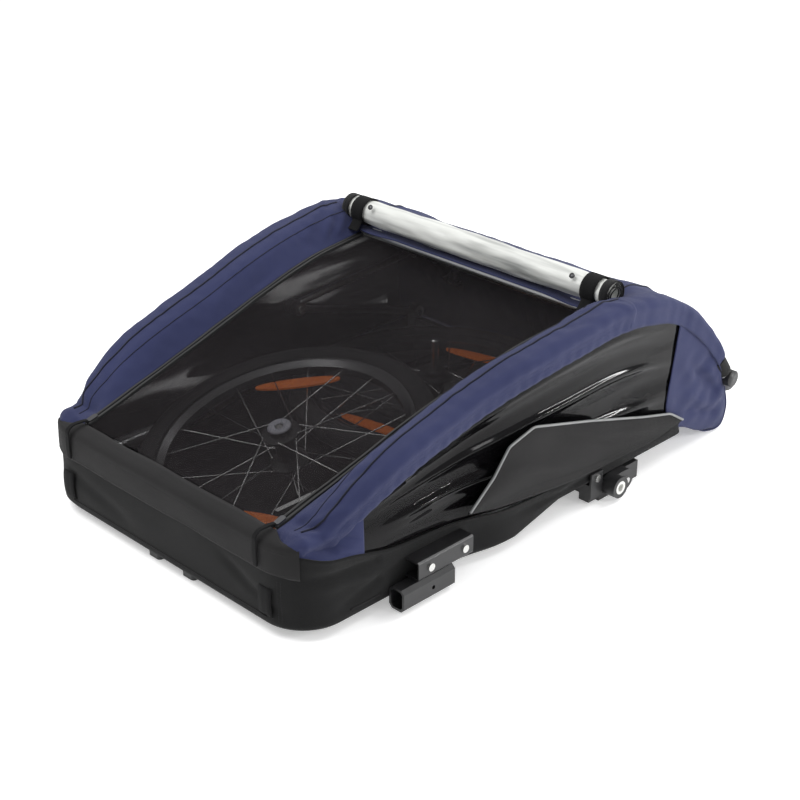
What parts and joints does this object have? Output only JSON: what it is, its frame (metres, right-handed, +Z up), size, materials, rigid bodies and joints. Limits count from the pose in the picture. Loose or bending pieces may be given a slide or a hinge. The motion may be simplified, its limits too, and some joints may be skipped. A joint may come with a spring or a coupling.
{
  "type": "child bicycle trailer",
  "caption": "Folding two-seat child bicycle trailer, collapsed flat: fabric tub, bent-tube canopy frame with mesh windscreen and rolled rain cover, spoked wheels stowed inside.",
  "frame": {"origin": "centre of the folded trailer's footprint, on the ground", "axes": "-Y towards the front of the trailer, +X towards its left side where the hitch is, +Z up"},
  "size_m": [0.69, 1.0086, 0.3512],
  "materials": {
    "black_polyester": "matte woven",
    "navy_nylon": "matte woven",
    "dark_mesh": "fine open mesh",
    "clear_film": "glossy clear film",
    "zip_tape": "matte",
    "reflective_tape": "retroreflective piping",
    "webbing": "matte webbing",
    "padding": "padded cloth",
    "board": "matte",
    "cage_aluminium": "satin",
    "black_steel": "satin black",
    "zinc_screw": "zinc plated",
    "black_plastic": "matte moulded",
    "white_bush": "smooth nylon",
    "button_metal": "satin",
    "grey_foam": "soft foam",
    "tyre_rubber": "matte rubber",
    "rim_alloy": "satin anodised",
    "spoke_steel": "bright",
    "hub_plastic": "satin",
    "amber_lens": "prismatic amber",
    "axle_steel": "bright steel",
    "slider_metal": "dark nickel"
  },
  "bodies": {
    "base": {"tub_shell": "black_polyester", "chassis_rail_left": "cage_aluminium", "chassis_rail_right": "cage_aluminium", "front_hoop": "cage_aluminium", "rear_crossbar": "cage_aluminium", "axle_beam": "black_steel", "axle_housings": "black_plastic", "axle_bushes": "white_bush", "seat_board": "board", "seat_back": "padding", "harness_straps": "webbing", "harness_buckles": "black_plastic", "side_panels": "black_polyester", "panel_piping": "reflective_tape", "front_flap": "black_polyester", "corner_loops": "webbing", "front_feet": "black_plastic", "hitch_bracket": "black_steel", "frame_screws": "zinc_screw", "hitch_receiver": "black_steel", "chassis_pins": "zinc_screw", "wheel_axles": "axle_steel"},
    "roll_cage": {"roll_cage_tube_left": "cage_aluminium", "roll_cage_tube_right": "cage_aluminium", "header_tube": "cage_aluminium", "rear_top_tube": "cage_aluminium", "canopy_band_left": "navy_nylon", "canopy_band_right": "navy_nylon", "roof_sides": "navy_nylon", "canopy_roof": "navy_nylon", "windscreen_mesh": "dark_mesh", "zip_tapes": "zip_tape", "side_windows": "clear_film", "rear_panel": "navy_nylon", "rain_cover_roll": "clear_film", "roll_straps": "webbing", "cage_pins": "zinc_screw"},
    "push_handle": {"handle_bar": "cage_aluminium", "handle_grip": "grey_foam"},
    "lower_legs": {"lower_legs": "cage_aluminium", "knee_pins": "zinc_screw"},
    "upper_legs": {"upper_legs": "cage_aluminium"},
    "front_wheel": {"tyre_front_wheel": "tyre_rubber", "rim_front_wheel": "rim_alloy", "spokes_front_wheel": "spoke_steel", "hub_front_wheel": "hub_plastic", "reflectors_front_wheel": "amber_lens"},
    "rear_wheel": {"tyre_rear_wheel": "tyre_rubber", "rim_rear_wheel": "rim_alloy", "spokes_rear_wheel": "spoke_steel", "hub_rear_wheel": "hub_plastic", "reflectors_rear_wheel": "amber_lens"},
    "hub_button_front": {"hub_button_front_wheel": "button_metal"},
    "hub_button_rear": {"hub_button_rear_wheel": "button_metal"},
    "release_button_left": {"release_button_left": "button_metal"},
    "release_button_right": {"release_button_right": "button_metal"},
    "zip_slider_left": {"zip_slider_left": "slider_metal"},
    "zip_slider_right": {"zip_slider_right": "slider_metal"},
    "zip_pull_left": {"zip_pull_left": "webbing"},
    "zip_pull_right": {"zip_pull_right": "webbing"}
  },
  "joints": [
    {"name": "canopy_fold", "type": "hinge", "parent": "base", "child": "roll_cage", "pos_m": [0, -0.4533, 0.128], "axis": [1, 0, 0], "range_deg": [0, 38], "deforming": ["side_windows", "rear_panel"]},
    {"name": "push_handle_swing", "type": "hinge", "parent": "roll_cage", "child": "push_handle", "pos_m": [0, 0.4417, 0.106], "axis": [1, 0, 0], "range_deg": [0, 60]},
    {"name": "lower_legs_unfold", "type": "hinge", "parent": "base", "child": "lower_legs", "pos_m": [0, 0.3007, 0.09], "axis": [1, 0, 0], "range_deg": [-52.54, 0]},
    {"name": "upper_legs_unfold", "type": "hinge", "parent": "roll_cage", "child": "upper_legs", "pos_m": [0, 0.3057, 0.205], "axis": [1, 0, 0], "range_deg": [0, 67.47]},
    {"name": "front_wheel_spin", "type": "hinge", "parent": "base", "child": "front_wheel", "pos_m": [0, -0.2583, 0.1145], "axis": [0, 0.2756, -0.9613], "continuous": true},
    {"name": "rear_wheel_spin", "type": "hinge", "parent": "base", "child": "rear_wheel", "pos_m": [0.008, 0.0607, 0.101], "axis": [0, 0, 1], "continuous": true},
    {"name": "front_hub_button", "type": "slide", "parent": "base", "child": "hub_button_front", "axis": [0, 0.2756, -0.9613], "range_m": [0, 0.004], "stiffness_N_per_m": 400, "springref_m": -0.003},
    {"name": "rear_hub_button", "type": "slide", "parent": "base", "child": "hub_button_rear", "axis": [0, 0, 1], "range_m": [0, 0.004], "stiffness_N_per_m": 400, "springref_m": -0.003},
    {"name": "left_axle_release", "type": "slide", "parent": "base", "child": "release_button_left", "axis": [-1, 0, 0], "range_m": [0, 0.004], "stiffness_N_per_m": 400, "springref_m": -0.003},
    {"name": "right_axle_release", "type": "slide", "parent": "base", "child": "release_button_right", "axis": [1, 0, 0], "range_m": [0, 0.004], "stiffness_N_per_m": 400, "springref_m": -0.003},
    {"name": "left_zip", "type": "slide", "parent": "roll_cage", "child": "zip_slider_left", "axis": [0.0334, 0.9603, 0.277], "range_m": [0, 0.28], "deforming": ["zip_pull_left"]},
    {"name": "right_zip", "type": "slide", "parent": "roll_cage", "child": "zip_slider_right", "axis": [-0.0334, 0.9603, 0.277], "range_m": [0, 0.28], "deforming": ["zip_pull_right"]},
    {"name": "left_zip_pull", "type": "hinge", "parent": "zip_slider_left", "child": "zip_pull_left", "pos_m": [0.21638, -0.4663, 0.15637], "axis": [1, 0, 0], "range_deg": [-120, 0]},
    {"name": "right_zip_pull", "type": "hinge", "parent": "zip_slider_right", "child": "zip_pull_right", "pos_m": [-0.21638, -0.4663, 0.15637], "axis": [1, 0, 0], "range_deg": [-120, 0]}
  ],
  "couplings": [
    {"joint": "lower_legs_unfold", "follows": "canopy_fold", "ratio": -1.3823},
    {"joint": "upper_legs_unfold", "follows": "canopy_fold", "ratio": 1.7754}
  ]
}
